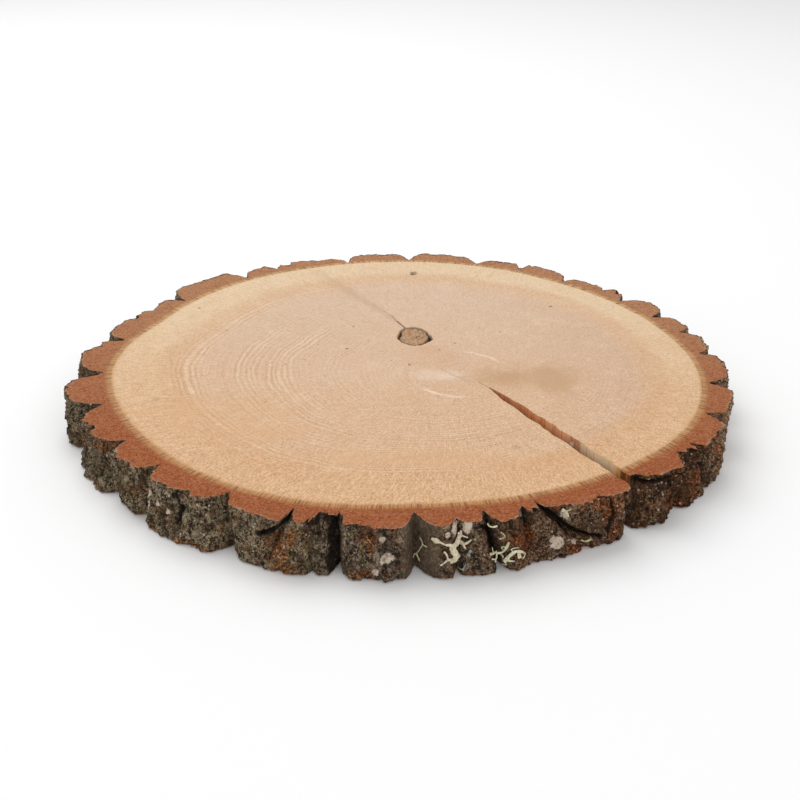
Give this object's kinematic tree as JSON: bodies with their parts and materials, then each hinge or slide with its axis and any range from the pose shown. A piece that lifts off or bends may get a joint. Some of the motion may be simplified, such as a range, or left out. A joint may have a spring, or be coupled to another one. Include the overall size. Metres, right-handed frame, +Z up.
{
  "type": "wood slice",
  "caption": "Round slice of tree trunk with furrowed bark on its edge, a long drying crack and a knot, for use as a flat stand or board.",
  "frame": {"origin": "under the middle of the outline, on the flat face that the slice rests on", "axes": "+Z up, along the trunk's grain and square to both sawn faces; the drying crack opens towards +X and -Y"},
  "size_m": [0.3284, 0.3238, 0.025],
  "materials": {
    "wood": "sawn, dry, unvarnished; growth rings round an off-centre pith, pink-brown heart and paler sapwood",
    "bark": "rough furrowed outer bark, dark grey-brown, red-brown where it is sawn or broken",
    "lichen": "dry, papery and matt"
  },
  "bodies": {
    "root": {"wood_slice": "wood", "lichen_tuft_cream": "lichen", "lichen_tuft_green": "lichen", "lichen_strand": "lichen", "lichen_sprig_upper": "lichen", "lichen_sprig_mid": "lichen", "lichen_sprig_right": "lichen", "lichen_sprig_low": "lichen", "lichen_crumb_upper": "lichen", "lichen_crumb_lower": "lichen"}
  },
  "joints": []
}
